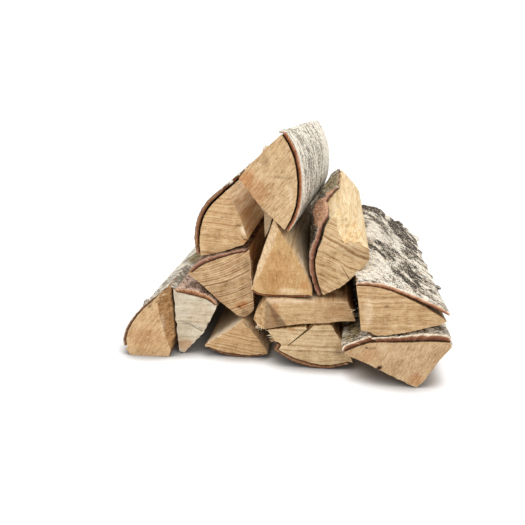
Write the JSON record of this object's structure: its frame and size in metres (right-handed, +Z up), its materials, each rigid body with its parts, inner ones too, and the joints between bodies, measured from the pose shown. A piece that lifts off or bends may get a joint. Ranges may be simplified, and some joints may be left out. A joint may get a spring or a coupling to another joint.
{
  "type": "stack of birch firewood",
  "caption": "Loose stack of split birch firewood: wedge, slab and half-round logs with sawn ends, split faces and white, grey and copper bark.",
  "frame": {"origin": "under the middle of the stack, on the surface that it stands on", "axes": "+Z up, the logs lie along Y with the sawn ends that face the viewer towards -Y, +X to the right"},
  "size_m": [0.3566, 0.375, 0.2527],
  "materials": {
    "fresh_wood": "sawn and split birch, matt",
    "pale_wood": "freshly split birch, matt",
    "brown_wood": "split birch with a browner heart, matt",
    "weathered_wood": "greyed, weathered birch, matt",
    "white_bark": "white birch bark with black scars",
    "cream_bark": "cream birch bark with fine grey lines",
    "dark_bark": "rough grey-black bark, copper inside"
  },
  "bodies": {
    "root": {"left_foot_log": "fresh_wood", "grey_log": "weathered_wood", "wedge_log": "pale_wood", "cracked_log": "fresh_wood", "right_foot_log": "fresh_wood", "right_foot_bark": "white_bark", "slab_log": "pale_wood", "left_shoulder_log": "fresh_wood", "middle_log": "brown_wood", "torn_log": "pale_wood", "torn_bark": "dark_bark", "right_shoulder_log": "fresh_wood", "right_shoulder_bark": "white_bark", "upper_left_log": "pale_wood", "upper_left_bark": "cream_bark", "hidden_log": "pale_wood", "top_log": "fresh_wood", "top_bark": "cream_bark"}
  },
  "joints": []
}
